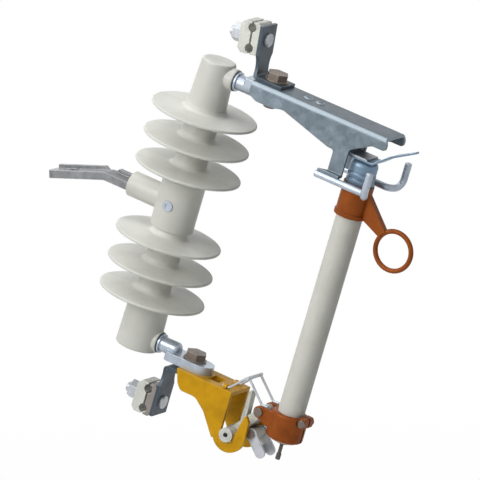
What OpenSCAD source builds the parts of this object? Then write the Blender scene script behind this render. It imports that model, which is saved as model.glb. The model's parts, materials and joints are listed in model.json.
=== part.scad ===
// Polymer fuse cutout: a leaning polymer insulator on a mounting strap, with a drop-out fuse
// holder latched between its top channel and its hinge bracket. Sizes in millimetres.
// The origin is the centre of the mounting hole, on the underside of the strap's level tongue.
// +X runs towards the fuse holder and +Z is up. Pieces on the insulator are drawn in its own
// frame: x is the distance out from its axis, z the level along it from its middle.

/* [Mounting strap] */
// Lean of the insulator from upright, towards the fuse holder, in degrees
lean = 20; // [14:1:26]
// Width of the strap
strap_w = 21; // [18:0.5:22]
// Thickness of the strap's web
strap_t = 8; // [6:0.5:9]
// Thickness of the strap's upright flange
flange_t = 5; // [3:0.5:6]
// Height of the flange over the web
flange_rise = 4; // [3:0.5:5]
// Half the width of the V notch in the flange at the bend
flange_notch = 7; // [4:0.5:10]
// Distance that the flange stops short of the tongue's free end
flange_setback = 4; // [0:0.5:8]
// Diameter of the mounting hole
hole_d = 10.5; // [8.5:0.5:13]
// Distance from the mounting hole to the tongue's free end
tongue_end = 26; // [18:1:32]
// Distance from the mounting hole to the bend
tongue_reach = 39; // [30:1:55]
// Corner radius of the tongue's free end
tongue_corner = 4; // [1:0.5:8]
// Bend radius of the strap at the middle of its web
strap_bend_r = 10; // [6:1:16]
// Distance from the insulator's axis out to the bend
bend_out = 83; // [76:1:100]
// Length of the strap that is moulded into the mounting boss
strap_bite = 24; // [14:1:28]

/* [Insulator] */
// Diameter over a shed
shed_d = 109; // [95:1:125]
// Number of sheds on each half
sheds = 3; // [2:1:3]
// Distance between neighbouring sheds
shed_pitch = 30.6; // [26:0.2:32]
// Level of the sheds next to the collar
first_shed = 37; // [35:0.5:40]
// Thickness of a shed's round rim
rim_t = 3; // [2:0.25:4]
// Fall of a shed's top face from the axis to the rim
shed_fall = 4; // [1:0.5:8]
// Rise of a shed's under face from the axis to the rim
shed_under = 2.5; // [0:0.5:5]
// Fillet at the root of each shed
shed_fillet = 5; // [2:0.5:7]
// Diameter of the necks between the sheds
neck_d = 34.7; // [30:0.5:40]
// Diameter of the collar at the middle
collar_d = 44.6; // [42:0.2:50]
// Height of the collar
collar_h = 53; // [46:1:58]
// Diameter of the upper end at its shed
head_root_d = 41.5; // [38:0.5:46]
// Diameter of the upper end at its top
head_end_d = 35.5; // [33:0.5:42]
// Diameter of the lower end at its shed
foot_root_d = 42; // [38:0.5:46]
// Diameter of the lower end at its bottom
foot_end_d = 45; // [40:0.5:50]
// Level of the two ends, from the middle
end_level = 155; // [150:1:165]
// Rounding of moulded edges
edge_r = 2.5; // [1:0.25:3]
// Diameter of the mounting boss
mount_boss_d = 26; // [25.5:0.5:30]
// Distance that the mounting boss reaches out from the axis
mount_boss_out = 55; // [45:1:62]
// Diameter of the bosses that hold the end studs
stud_boss_d = 22.5; // [20:0.5:25]
// Distance that the stud bosses reach out from the axis
stud_boss_out = 24; // [22:0.5:28]
// Diameter of the cross pin in the collar
pin_d = 11; // [8:0.5:13]
// Height that the cross pin stands proud of the collar
pin_proud = 0.8; // [0.4:0.1:2]
// Diameter of the dimple in each end of the cross pin
pin_dimple_d = 5; // [3:0.5:6]

/* [End studs] */
// Level of the studs, from the middle
stud_level = 142; // [138:0.5:143]
// Diameter of a stud's round shank
stud_d = 16; // [13:0.5:18]
// Depth of the studs' inner end, as a distance out from the axis
stud_root = 4; // [0:0.5:8]
// Distance out to the round end of the shank
stud_out = 48; // [45:0.5:50]
// Rounding of the shank's end
stud_round = 5; // [3:0.5:6]
// Diameter of the shoulder that seats on the boss
stud_shoulder_d = 20; // [18:0.5:22]
// Thickness of that shoulder
stud_shoulder_t = 3; // [2:0.5:5]
// Width of the flattened palm
palm_w = 26; // [22:0.5:30]
// Thickness of the palm
palm_t = 9; // [7:0.5:11]
// Distance out to the palm's inner end
palm_in = 37; // [34:0.5:40]
// Corner radius of the palm's inner end
palm_corner = 4; // [2:0.5:8]
// Distance out to the palm's round tip
palm_out = 88; // [84:0.5:92]
// Offset of the palm's middle from the shank, away from the insulator's middle
palm_shift = 6; // [4:0.5:8]
// Distance out to the palm bolts
palm_bolt_out = 66; // [62:0.5:70]
// Diameter of the palm bolts
palm_bolt_d = 12; // [10:0.5:13]
// Width across the flats of the palm bolts
palm_bolt_af = 19; // [17:0.5:20]
// Height of the palm bolts' heads
palm_bolt_head = 7; // [6:0.5:10]
// Diameter of their washers
washer_d = 24; // [22:0.5:25]
// Thickness of the washers
washer_t = 1.5; // [1:0.25:3]

/* [Top channel] */
// Width over the channel's side walls
channel_w = 41; // [40:0.5:46]
// Thickness of the channel's walls
channel_t = 3; // [2:0.25:4]
// Outer bend radius along the channel's two top edges
channel_bend_r = 5; // [4.5:0.25:7]
// Distance out to the channel's inner end
channel_start = 50; // [48:0.5:52]
// Distance out to the channel's front end
channel_end = 207; // [200:1:215]
// Depth of the walls at the inner end
end_depth = 14; // [11:0.5:16]
// Depth of the walls round the palm
heel_depth = 18.5; // [16:0.5:22]
// Depth of the walls at the belly, where the legs start
belly_depth = 32; // [28:0.5:36]
// Depth of the walls at the front lug
nose_depth = 13; // [10:0.5:15]
// Distance that the front lugs reach past the channel's top
nose_reach = 3; // [2:0.5:5]
// Length of the front lugs along the channel
nose_l = 15; // [12:0.5:18]
// Distance out to the belly's inner end
belly_out = 149; // [144:0.5:152]
// Distance out to the legs' inner edge
leg_out = 156; // [154:0.5:158]
// Width of each leg
leg_w = 16; // [12:0.5:18]
// Level of the legs' feet
foot_level = 99; // [97:0.5:102]

/* [Hooks] */
// Diameter of the hook rods
rod_d = 7.3; // [6:0.1:8]
// Distance of the hook rods from the middle plane
rod_side = 25; // [24.5:0.1:28]
// Distance out to the rods' inner end
rod_start = 147; // [142:0.5:152]
// Distance out to where the rods turn sideways
rod_turn = 199; // [194:0.5:204]
// Sideways turn of the hooks, in degrees
hook_splay = 68; // [45:1:80]
// Radius of the sideways turn at the rod's middle
turn_r = 8; // [6:0.5:11]
// Straight length between the sideways turn and the upward curl
hook_reach = 2; // [1:0.5:5]
// Radius of the upward curl at the rod's middle
curl_r = 10; // [8:0.5:14]
// Straight length of the hooks' upright ends
hook_rise = 16; // [10:0.5:24]

/* [Upper contact] */
// Width of the contact leaf
leaf_w = 24; // [18:0.5:30]
// Thickness of the contact leaf
leaf_t = 2; // [1.5:0.25:3]
// Distance out to the leaf's inner end
leaf_start = 98; // [95:0.5:102]
// Length of the leaf that lies flat under the channel
leaf_root = 28; // [24:0.5:32]
// Distance out to where the leaf runs level over the cap
leaf_flat = 170; // [166:0.5:172]
// Length of that level run
leaf_run = 27; // [24:0.5:31]
// Reach of the lip past the level run
lip_reach = 38; // [28:0.5:42]
// Rise of the lip over the leaf's level run
lip_rise = 26; // [18:0.5:30]
// Width of the lip at its end
lip_w = 7; // [5:0.5:14]
// Thickness of the steel spring that backs the leaf
backing_t = 1.5; // [1:0.25:2]
// Diameter of the rivets
rivet_d = 6; // [4:0.5:8]
// Diameter of the rivets' lower heads
rivet_head_d = 10; // [8:0.5:11]
// Height of the rivets' lower heads
rivet_head_h = 2; // [1.5:0.25:3]

/* [Line terminals] */
// Distance out to the upper strap's inner face, at its foot
upper_out = 46; // [45:0.5:48]
// Distance out to the lower strap's inner face, at its foot
lower_out = 41; // [39:0.5:44]
// Thickness of the terminal straps
terminal_t = 3.5; // [3:0.25:5]
// Width of the terminal straps
terminal_w = 29.5; // [28:0.5:33]
// Width of the straps at their waist, over the bend
waist_w = 22; // [19:0.5:26]
// Radius of the waist's two sides
waist_r = 20; // [16:0.5:26]
// Distance out to the end of the straps' feet
terminal_foot = 80; // [79:0.5:84]
// Bend radius of the straps at their inner face
terminal_bend_r = 6; // [5:0.5:8]
// Backward lean of the upper strap, in degrees
upper_back = 7; // [0:1:14]
// Length of the upper strap's upright part
upper_rise = 53.5; // [50:0.5:60]
// Height of the upper clamp's bolt on its strap
upper_clamp_rise = 38.5; // [36:0.5:40]
// Backward lean of the lower strap, in degrees
lower_back = 0; // [0:1:8]
// Length of the lower strap's upright part
lower_rise = 56; // [52:0.5:64]
// Height of the lower clamp's bolt on its strap
lower_clamp_rise = 42; // [40:0.5:44]
// Width of the clamps
clamp_w = 24; // [20:0.5:28]
// Height of the clamps
clamp_h = 33; // [31:0.5:36]
// Thickness of the clamps' bodies
clamp_body_t = 9; // [8:0.5:11]
// Thickness of the clamps' keepers
clamp_keeper_t = 12; // [10:0.5:14]
// Gap between body and keeper
jaw_gap = 2; // [1:0.25:3]
// Diameter of the conductor grooves
groove_d = 9; // [6:0.5:9.5]
// Distance of the grooves' middles from the clamp's bolt
groove_side = 10.5; // [10:0.25:11]
// Diameter of the clamp bolts
clamp_bolt_d = 10; // [8:0.5:10.5]
// Diameter of the clamp bolts' round heads
clamp_head_d = 14; // [12:0.5:16]
// Height of those heads
clamp_head_h = 3; // [2:0.25:4]
// Width across the flats of the clamp nuts
clamp_nut_af = 17; // [15:0.5:18]
// Diameter of the washers under the clamp nuts
clamp_washer_d = 19; // [18:0.5:21]
// Height of the clamp nuts
clamp_nut_h = 9; // [7:0.5:11]
// Length of bolt that stands out of each nut
bolt_tail = 4; // [2:0.5:6]

/* [Hinge bracket] */
// Width over the bracket's side plates
bracket_w = 40; // [39:0.5:44]
// Thickness of the bracket's plates
bracket_t = 4; // [3:0.25:4.5]
// Distance out to the bracket's inner end
bracket_start = 59; // [57:0.5:60]
// Distance out to the trunnion's axis
trunnion_out = 132; // [130:0.5:134]
// Level of the trunnion's axis below the insulator's middle
trunnion_drop = 195; // [193:0.5:197]
// Diameter of the trunnion's two ends
trunnion_d = 15; // [12:0.5:16]
// Running clearance of the trunnion in its slots, on the radius
slot_gap = 0.4; // [0.3:0.05:0.8]
// Radius of the bracket's round lobe under the trunnion
lobe_r = 18.5; // [16:0.5:20]
// Depth of the bracket's sides at the heel, under the palm
heel_drop = 20; // [18:0.5:22]
// Distance from the trunnion in to the heel's front end
heel_in = 45; // [43:0.5:47]
// Distance from the trunnion in to the knee over the lobe
knee_in = 32; // [30:0.5:34]
// Height of that knee over the trunnion
knee_up = 12.5; // [10:0.5:14]
// Widening of the slots at their mouths
slot_flare = 6; // [4:0.5:7]
// Length by which the trunnion's ends stand out of the bracket
trunnion_proud = 2.5; // [1.5:0.5:4]
// Level of the slots' front fingers at their tips, below the insulator's middle
finger_drop = 168; // [166:0.5:172]
// Distance out to the middle of the window in the bracket's top
window_out = 96; // [94.5:0.5:98]
// Length of that window
window_l = 13; // [8:0.5:15]
// Width of that window
window_w = 18; // [12:0.5:22]
// Diameter of the spring wire over the bracket
wire_d = 2.6; // [2:0.2:3.4]
// Distance of the spring's two wires from the middle plane
wire_side = 12; // [11.5:0.25:12.5]
// Distance out to the inner end of the spring's wires
wire_start = 109; // [108:0.5:111]
// Distance out to the spring's cross bar
wire_bar_out = 134; // [131:0.5:136]
// Height of the cross bar over the bracket's top
wire_bar_rise = 20; // [14:0.5:20]
// Diameter of the cross bar
wire_bar_d = 3.8; // [3.6:0.2:5]
// Length by which the cross bar stands out past the wires
wire_bar_past = 2; // [1.5:0.5:4]
// Length of the wires that lies on the bracket
wire_foot = 8; // [5:0.5:10]
// Length of the wires that runs over the casting's arms
wire_tip = 7; // [4:0.5:10]
// Air between the wires and the casting's arms
wire_gap = 0.4; // [0.3:0.05:0.8]

/* [Fuse holder] */
// Distance of the fuse tube's axis from the insulator's axis
holder_out = 184; // [182:0.5:186]
// Diameter of the fuse tube
tube_d = 27; // [25:0.5:28]
// Bore of the fuse tube
tube_bore_d = 13; // [11:0.5:15]
// Level of the tube's upper end
tube_top = 96; // [94:0.5:98]
// Drop of the tube's open end below the insulator's middle
tube_drop = 182; // [181:0.5:185]
// Diameter of the upper ferrule
ferrule_d = 31.5; // [30:0.5:33]
// Height of the upper ferrule
ferrule_h = 34; // [30:0.5:38]
// Height of the ferrule's lower lip
ferrule_lip = 4; // [3:0.5:6]
// Width of that lip's step
lip_step = 1; // [0.5:0.25:1.5]
// Diameter of the top cap
cap_d = 28; // [26:0.5:29]
// Height of the top cap
cap_h = 25; // [22:0.5:26]
// Rounding of the cap's top
cap_round = 6; // [3:0.5:9]
// Width of the two round grooves in the cap
cap_groove = 1.6; // [1:0.2:2.4]
// Air between the cap and the contact leaf
contact_gap = 0.4; // [0.3:0.05:0.8]
// Distance from the tube's axis out to the pull ring's middle
ring_out = 56; // [52:0.5:62]
// Level of the pull ring's middle
ring_level = 45.5; // [40:0.5:50]
// Diameter of the pull ring at the middle of its bar
ring_d = 39.6; // [35:0.2:44]
// Thickness of the pull ring's round bar
ring_bar_d = 5; // [4:0.1:6]
// Thickness of the arm that carries the ring
ring_arm_t = 7; // [5:0.5:9]
// Width of that arm at the ring
ring_arm_w = 9; // [9:0.5:14]
// Distance from the ferrule's top down to the arm's root
ring_arm_drop = 6; // [4:0.5:9]
// Diameter of the lower casting's band
band_d = 38; // [35:0.5:40]
// Height of the band
band_h = 27.5; // [25:0.5:30]
// Rounding of the band's edges
band_round = 2.5; // [1:0.25:3.5]
// Distance from the tube's axis to the toggle pin
toggle_in = 28; // [27:0.5:30]
// Drop of the toggle pin below the insulator's middle
toggle_drop = 161; // [160:0.5:162.5]
// Radius of the casting's arms round the toggle pin
arm_r = 6; // [5:0.25:6.5]
// Thickness of the casting's two arms
arm_t = 4.5; // [3.5:0.25:5]
// Thickness of the trunnion link between those arms
link_t = 18; // [16:0.25:18.5]
// Side gap of the link between the arms, and of the ejector's cheeks on the link
side_gap = 0.8; // [0.5:0.1:1]
// Diameter of the toggle pin
toggle_d = 6; // [5:0.5:7]
// Width of the trunnion link's upright tab
tab_w = 9; // [9:0.5:12]
// Length of that tab along the link, and its height over the trunnion
tab_l = 4; // [4:0.5:7]
tab_up = 47; // [42:0.5:48]
// Diameter of the band's clamp bolt
band_bolt_d = 5; // [4:0.5:6]
// Width of the band's clamp lug
lug_w = 17; // [15:0.5:21]
// Height of that lug
lug_h = 11; // [10:0.5:13]
// Rise of the lug above the band
lug_up = 2; // [0.5:0.5:4]
// Wall between the tube and the lug's bolt
lug_out = 2; // [1.5:0.5:4]
// Distance that the lug reaches past its bolt
lug_past = 4; // [4:0.5:6]
// Width of the slit that closes the band on the tube
slit_w = 3; // [2:0.25:4]

/* [Link ejector] */
// Distance of the ejector's pivot from the trunnion, outwards
ejector_out = 22; // [20:0.5:24]
// Height of the ejector's pivot over the trunnion
ejector_up = 8; // [7:0.5:10]
// Diameter of the ejector's pivot pin
ejector_pin_d = 5; // [4:0.25:6]
// Running clearance of the ejector on its pin, on the radius
pin_gap = 0.05; // [0.02:0.01:0.1]
// Length of the ejector's fingers from the pivot
finger_l = 26; // [22:0.5:28]
// Slope of the fingers below the outward direction, in degrees
finger_slope = 44; // [42:1:56]
// Width of the fingers
finger_w = 11; // [9:0.5:12]
// Thickness of the ejector's sheet
ejector_t = 2; // [1.5:0.25:2.5]
// Width of metal round the ejector's pivot
cheek_wall = 4; // [3:0.25:5]
// Diameter of the fuse link's sheath in the tube
sheath_d = 12.4; // [10:0.1:12.6]
// Length of the sheath inside and below the tube
sheath_l = 40; // [30:1:60]
// Length of sheath below the tube
sheath_below = 3; // [2:0.5:5]
// Diameter of the link's tail
tail_d = 3; // [2:0.25:4]
// Length of the tail below the sheath
tail_l = 18; // [12:0.5:22]
// Diameter of the crimped end of the tail
crimp_d = 5; // [4.5:0.25:7]
// Length of the crimped end
crimp_l = 7; // [5:0.5:10]

/* [Hidden] */
$fn = 64;
// Gap round moulded-in and pressed pieces, and round bolts in their holes
seat_gap = 0.1;
bolt_gap = 0.4;
// Turn of one straight step along a rounded corner, in degrees
arc_step = 12;
// Length by which cuts run past the faces they open
past = 1;
// Corner radii of sheet-metal outlines: wide bends, bends, and eased corners
wide_r = 10;
bend_r = 6;
ease_r = 3;
// Overhang of a riveted pin head round its pin, and its height
head_over = 1.5;
head_h = 2;
shed_r = shed_d / 2;
neck_r = neck_d / 2;
top_shed = first_shed + (sheds - 1) * shed_pitch;
web_drop = flange_rise / 2;
strap_run = bend_out - mount_boss_out + strap_bite;
insulator_at = [
    tongue_reach + bend_out * cos(lean) + web_drop * sin(lean),
    0,
    strap_t / 2 - bend_out * sin(lean) + web_drop * cos(lean)
];
palm_level = stud_level + palm_shift;
palm_face = palm_level + palm_t / 2;
channel_top = palm_face + channel_t;
channel_inside = channel_w / 2 - channel_t;
// Number of facets round a hook rod, one of which lies flat on its foot
rod_sides = 16;
rod_level = foot_level - rod_d / 2 * cos(180 / rod_sides);
// Number of facets round a wire of the hinge spring
wire_sides = 12;
cap_top = tube_top + cap_h;
leaf_level = cap_top + contact_gap;
leaf_rivets = [leaf_start + leaf_root / 4, leaf_start + leaf_root * 3 / 4];
bracket_face = palm_face;
bracket_under = bracket_face + bracket_t;
bracket_inside = bracket_w / 2 - bracket_t;
trunnion_r = trunnion_d / 2;
slot_r = trunnion_r + slot_gap;
trunnion_end = bracket_w / 2 + trunnion_proud;
holder_level = -tube_drop;
band_bottom = -tube_drop + 2;
band_top = band_bottom + band_h;
lug_level = band_top + lug_up - lug_h / 2;
lug_bolt_out = tube_d / 2 + lug_out + bolt_gap + band_bolt_d / 2;
lug_head_d = band_bolt_d + 2 * head_over;
arm_side = link_t / 2 + side_gap;
toggle_at = [holder_out - toggle_in, -toggle_drop];
trunnion_at = [trunnion_out, -trunnion_drop];
ejector_at = trunnion_at + [ejector_out, ejector_up];
cheek_r = ejector_pin_d / 2 + cheek_wall;
lobe_at = trunnion_at + [2, 1];

// Unit vector, and the normal to the left of a step from a to b
function unit(v) = v / norm(v);
function left_of(a, b) = let (d = unit(b - a)) [-d[1], d[0]];

// Normal at a point of a path, lengthened so that both neighbouring edges shift alike
function mitre(path, i) =
    i == 0 ? left_of(path[0], path[1]) :
    i == len(path) - 1 ? left_of(path[i - 1], path[i]) :
    let (before = left_of(path[i - 1], path[i]), after = left_of(path[i], path[i + 1]))
    let (m = unit(before + after))
    m / (m * before);

// Path moved to its left by d, and a list turned round
function shifted(path, d) = [for (i = [0:len(path) - 1]) path[i] + d * mitre(path, i)];
function turned_round(list) = [for (i = [len(list) - 1:-1:0]) list[i]];

// Points of the arc of radius r that rounds the corner a, b, c
function corner_arc(a, b, c, r) =
    let (u = unit(a - b), w = unit(c - b))
    let (half = acos(u * w) / 2, sweep = 180 - 2 * half)
    let (centre = b + unit(u + w) * r / sin(half))
    let (from = unit(b + u * r / tan(half) - centre), to = unit(b + w * r / tan(half) - centre))
    let (steps = max(1, ceil(sweep / arc_step)))
    [for (k = [0:steps])
        centre + r * (sin(sweep * (1 - k / steps)) * from + sin(sweep * k / steps) * to) / sin(sweep)];

// Open path with its inner corners rounded to one radius
function rounded_path(path, r) = concat(
    [path[0]],
    [for (i = [1:len(path) - 2]) each corner_arc(path[i - 1], path[i], path[i + 1], r)],
    [path[len(path) - 1]]
);

// Closed outline from [x, y, radius] corners, where a radius of 0 leaves the corner sharp
function flat(p) = [p[0], p[1]];
function rounded_loop(points) =
    let (n = len(points))
    [for (i = [0:n - 1])
        let (a = flat(points[(i + n - 1) % n]), b = flat(points[i]), c = flat(points[(i + 1) % n]))
        each (points[i][2] > 0 ? corner_arc(a, b, c, points[i][2]) : [b])];

// Puts what is drawn in the insulator's frame in its place
module on_insulator() {
    translate(insulator_at) rotate([0, lean, 0]) children();
}

// Extrudes an outline in the x-z plane across the middle plane, centred on side
module across(width, side = 0) {
    translate([0, side + width / 2, 0]) rotate([90, 0, 0]) linear_extrude(width) children();
}

// Strip of metal that follows a path in the x-z plane, between two offsets to the path's left
module strip(path, near, far, width) {
    across(width) polygon(concat(shifted(path, near), turned_round(shifted(path, far))));
}

// Round bar along +X from x = 0
module bar_out(d, length) {
    rotate([0, 90, 0]) cylinder(d = d, h = length);
}

// Round bar across the middle plane, centred on it
module bar_across(d, length) {
    rotate([90, 0, 0]) cylinder(d = d, h = length, center = true);
}

// Round bar along +Z whose upper edge is rounded
module rounded_bar(d, length, edge) {
    rotate_extrude() {
        square([d / 2 - edge, length]);
        square([d / 2, length - edge]);
        translate([d / 2 - edge, length - edge])
            intersection() {
                circle(edge);
                square(edge);
            }
    }
}

// Hexagonal prism along +Z by its width across the flats
module hex(af, h) {
    cylinder(d = af / cos(30), h = h, $fn = 6);
}

// Half section of one shed about its rim level
module shed_section() {
    rim_in = shed_r - rim_t / 2;
    polygon([
        [0, -rim_t / 2 - shed_under],
        [rim_in, -rim_t / 2],
        [rim_in, rim_t / 2],
        [0, rim_t / 2 + shed_fall]
    ]);
    translate([rim_in, 0]) circle(d = rim_t);
}

// Fillet on top of a shed, against a column of radius r
module root_fillet(r) {
    rise = rim_t / 2 + shed_fall * (1 - (r + shed_fillet) / shed_r);
    translate([r, rise])
        difference() {
            translate([-r / 2, -rim_t / 2]) square([r / 2 + shed_fillet, shed_fillet + rim_t / 2]);
            translate([shed_fillet, shed_fillet]) circle(shed_fillet);
        }
}

// Half section of one tapered end, from a shed's level up to its rounded edge
module end_section(root_d, end_d) {
    polygon([
        [0, top_shed],
        [root_d / 2, top_shed],
        [end_d / 2, end_level - edge_r],
        [end_d / 2 - edge_r, end_level],
        [0, end_level]
    ]);
    translate([end_d / 2 - edge_r, end_level - edge_r]) circle(edge_r);
}

// Half section of the collar, with rounded edges
module collar_section() {
    half = collar_h / 2;
    r = collar_d / 2;
    translate([0, -half]) square([r - edge_r, collar_h]);
    translate([0, edge_r - half]) square([r, collar_h - 2 * edge_r]);
    for (side = [-1, 1])
        translate([r - edge_r, side * (half - edge_r)]) circle(edge_r);
}

// Section of the strap in the y-z plane of the insulator's frame, grown by gap
module strap_section(gap) {
    low = -web_drop - strap_t / 2 - gap;
    translate([-strap_w / 2 - gap, low]) square([strap_w + 2 * gap, strap_t + 2 * gap]);
    translate([strap_w / 2 - flange_t - gap, low])
        square([flange_t + 2 * gap, strap_t + flange_rise + 2 * gap]);
}

module polymer_housing() {
    color("gainsboro")
        on_insulator()
            difference() {
                union() {
                    rotate_extrude() {
                        translate([0, -top_shed]) square([neck_r, 2 * top_shed]);
                        collar_section();
                        end_section(head_root_d, head_end_d);
                        mirror([0, 1]) end_section(foot_root_d, foot_end_d);
                        for (side = [-1, 1], k = [0:sheds - 1])
                            translate([0, side * (first_shed + k * shed_pitch)]) {
                                shed_section();
                                root_fillet(side > 0 && k == sheds - 1 ? head_root_d / 2 : neck_r);
                            }
                    }
                    for (side = [-1, 1])
                        translate([0, 0, side * stud_level])
                            rotate([0, 90, 0]) rounded_bar(stud_boss_d, stud_boss_out, edge_r / 2);
                    rotate([0, -90, 0]) rounded_bar(mount_boss_d, mount_boss_out, edge_r / 4);
                }
                for (side = [-1, 1])
                    translate([stud_root, 0, side * stud_level])
                        bar_out(stud_d + 2 * seat_gap, stud_boss_out);
                translate([-mount_boss_out - past, 0, 0])
                    rotate([90, 0, 90]) linear_extrude(strap_bite + past) strap_section(seat_gap);
                bar_across(pin_d + 2 * seat_gap, collar_d + 2 * past);
            }
}

module collar_pin() {
    length = collar_d + 2 * pin_proud;
    color("rosybrown")
        on_insulator()
            difference() {
                bar_across(pin_d, length);
                for (side = [-1, 1])
                    translate([0, side * length / 2, 0]) bar_across(pin_dimple_d, 2 * pin_proud);
            }
}

module mounting_strap() {
    web = rounded_path([
        [-tongue_end, strap_t / 2],
        [tongue_reach, strap_t / 2],
        [tongue_reach + strap_run * cos(lean), strap_t / 2 - strap_run * sin(lean)]
    ], strap_bend_r);
    flange = concat([[flange_setback - tongue_end, strap_t / 2]], [for (i = [1:len(web) - 1]) web[i]]);
    web_top = shifted(flange, strap_t / 2);
    flange_high = strap_t / 2 + flange_rise;
    flange_top = shifted(flange, flange_high);
    down_run = [cos(lean), -sin(lean)];
    off_run = [sin(lean), cos(lean)];
    color("dimgray")
        difference() {
            union() {
                strip(web, -strap_t / 2, strap_t / 2, strap_w);
                across(flange_t, (strap_w - flange_t) / 2)
                    difference() {
                        polygon(concat(
                            shifted(flange, -strap_t / 2),
                            [web_top[len(flange) - 1]],
                            turned_round(flange_top)
                        ));
                        translate([tongue_reach, strap_t / 2])
                            polygon([
                                [0, 0],
                                flange_notch * down_run + flange_high * off_run,
                                flange_notch * down_run + 2 * flange_high * off_run,
                                [-flange_notch, 2 * flange_high],
                                [-flange_notch, flange_high]
                            ]);
                    }
            }
            translate([0, 0, -past]) cylinder(d = hole_d, h = strap_t + 2 * past);
            for (flip = [0, 1])
                mirror([0, flip, 0])
                    translate([-tongue_end, -strap_w / 2, -past])
                        linear_extrude(strap_t + flange_rise + 2 * past)
                            difference() {
                                translate([-past, -past]) square(tongue_corner + past);
                                translate([tongue_corner, tongue_corner]) circle(tongue_corner);
                            }
        }
}

// Stud of the upper end: shank in its boss, shoulder, and bolted palm under the shank's round end
module end_stud() {
    color("lightsteelblue")
        difference() {
            union() {
                translate([stud_root, 0, stud_level])
                    rotate([0, 90, 0]) rounded_bar(stud_d, stud_out - stud_root, stud_round);
                translate([stud_boss_out, 0, stud_level]) bar_out(stud_shoulder_d, stud_shoulder_t);
                translate([0, 0, palm_level - palm_t / 2])
                    linear_extrude(palm_t) {
                        polygon(rounded_loop([
                            [palm_in, -palm_w / 2, palm_corner],
                            [palm_out - palm_w / 2, -palm_w / 2, 0],
                            [palm_out - palm_w / 2, palm_w / 2, 0],
                            [palm_in, palm_w / 2, palm_corner]
                        ]));
                        translate([palm_out - palm_w / 2, 0]) circle(d = palm_w);
                    }
            }
            translate([palm_bolt_out, 0, palm_level])
                cylinder(d = palm_bolt_d + 2 * bolt_gap, h = palm_t + 2 * past, center = true);
        }
}

module upper_stud() {
    on_insulator() end_stud();
}

module lower_stud() {
    on_insulator() mirror([0, 0, 1]) end_stud();
}

// Outline with two rounded upper corners, hanging from y = 0
module rounded_top(w, h, r) {
    translate([-w / 2, -h]) square([w, h - r]);
    translate([r - w / 2, -h]) square([w - 2 * r, h]);
    for (side = [-1, 1]) translate([side * (w / 2 - r), -r]) circle(r);
}

module top_channel() {
    drop = channel_top - foot_level;
    side_wall = rounded_loop([
        [channel_start, channel_top, 0],
        [channel_end, channel_top, 0],
        [channel_end + nose_reach, channel_top - nose_depth / 2, ease_r],
        [channel_end + nose_reach, channel_top - nose_depth, ease_r],
        [channel_end + nose_reach - nose_l, channel_top - nose_depth, bend_r],
        [leg_out + leg_w, channel_top - belly_depth + bend_r, bend_r],
        [leg_out + leg_w, foot_level, 0],
        [leg_out, foot_level, 0],
        [leg_out, channel_top - belly_depth, ease_r],
        [belly_out, channel_top - belly_depth, ease_r],
        [palm_out + ease_r, channel_top - heel_depth + ease_r, wide_r],
        [palm_out - wide_r, channel_top - heel_depth, bend_r],
        [channel_start + wide_r, channel_top - heel_depth, bend_r],
        [channel_start, channel_top - end_depth, 0]
    ]);
    color("slategray")
        on_insulator()
            difference() {
                union() {
                    intersection() {
                        translate([channel_start - past, 0, channel_top])
                            rotate([90, 0, 90])
                                linear_extrude(channel_end + nose_reach - channel_start + 2 * past)
                                    difference() {
                                        rounded_top(channel_w, drop + past, channel_bend_r);
                                        translate([0, -channel_t])
                                            rounded_top(2 * channel_inside, drop + past,
                                                channel_bend_r - channel_t);
                                    }
                        across(channel_w + 2 * past) polygon(side_wall);
                    }
                    for (side = [-1, 1])
                        translate([0, 0, foot_level]) linear_extrude(channel_t)
                            polygon([
                                [leg_out, side * channel_inside],
                                [leg_out + leg_w, side * channel_inside],
                                [leg_out + leg_w, side * (rod_side + rod_d / 4)],
                                [rod_start + past, side * (rod_side + rod_d / 4)],
                                [leg_out, side * (channel_inside + channel_t)]
                            ]);
                }
                translate([palm_bolt_out, 0, channel_top])
                    cylinder(d = palm_bolt_d + 2 * bolt_gap, h = 3 * channel_t, center = true);
                for (out = leaf_rivets)
                    translate([out, 0, channel_top])
                        cylinder(d = rivet_d + 2 * seat_gap, h = 3 * channel_t, center = true);
            }
}

// Middle line of the far hook: straight under its foot, a sideways turn and an upward curl
hook_line =
    let (low = [rod_turn, rod_side, rod_level], ahead = [cos(hook_splay), sin(hook_splay), 0])
    let (turned = low + turn_r * [sin(hook_splay), 1 - cos(hook_splay), 0])
    let (reached = turned + hook_reach * ahead)
    concat(
        [[rod_start, rod_side, rod_level]],
        [for (a = [0:arc_step:hook_splay]) low + turn_r * [sin(a), 1 - cos(a), 0]],
        [for (a = [0:arc_step:90]) reached + curl_r * (sin(a) * ahead + [0, 0, 1 - cos(a)])],
        [reached + curl_r * ahead + [0, 0, curl_r + hook_rise]]
    );

// Direction of a line at one of its points, and the side vector carried along it from point to point
function heading(line, i) = unit(line[min(i + 1, len(line) - 1)] - line[max(i - 1, 0)]);
function carried(side, t) = unit(side - (side * t) * t);
function side_vectors(line, start) = [
    for (i = 0, v = carried(start, heading(line, 0)); i < len(line);
        i = i + 1, v = i < len(line) ? carried(v, heading(line, i)) : v) v
];

// Round rod along a line in space, with a flat facet on the side that start points to
module rod_along(line, d, start, sides) {
    n = len(line);
    v = side_vectors(line, start);
    points = [for (i = [0:n - 1], k = [0:sides - 1])
        let (t = heading(line, i), a = (k + 0.5) * 360 / sides)
        line[i] + d / 2 * (cos(a) * v[i] + sin(a) * cross(t, v[i]))];
    ring = [for (k = [0:sides - 1]) k];
    walls = [for (i = [0:n - 2], k = ring)
        let (a = i * sides + k, b = i * sides + (k + 1) % sides)
        each [[a, a + sides, b + sides], [a, b + sides, b]]];
    polyhedron(points, concat([ring], walls, [[for (k = turned_round(ring)) (n - 1) * sides + k]]));
}

module hook_rod() {
    color("lightsteelblue") rod_along(hook_line, rod_d, [0, 0, 1], rod_sides);
}

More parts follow.
